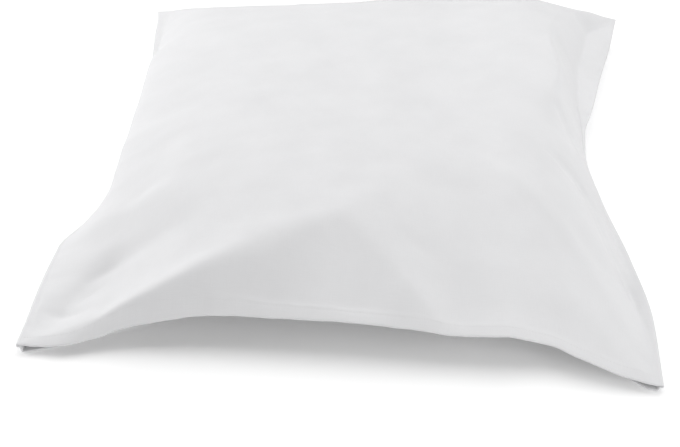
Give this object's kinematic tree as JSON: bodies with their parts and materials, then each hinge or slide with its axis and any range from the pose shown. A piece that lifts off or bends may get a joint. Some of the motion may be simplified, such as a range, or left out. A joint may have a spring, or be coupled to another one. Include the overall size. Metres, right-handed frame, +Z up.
{
  "type": "pillowcase",
  "caption": "Plain cotton pillowcase lying loosely filled out, sewn along its sides and far end, with a narrow hemmed mouth that takes a bed pillow.",
  "frame": {"origin": "middle of the footprint, on the surface that the bottom panel lies on", "axes": "+Y from the open mouth to the far sewn end, +X to the right as seen from the mouth, +Z up"},
  "size_m": [0.5914, 0.6933, 0.1096],
  "materials": {
    "cotton": "matt plain-weave cotton, washed and lightly creased"
  },
  "bodies": {
    "root": {"top_panel": "cotton", "bottom_panel": "cotton"}
  },
  "joints": []
}
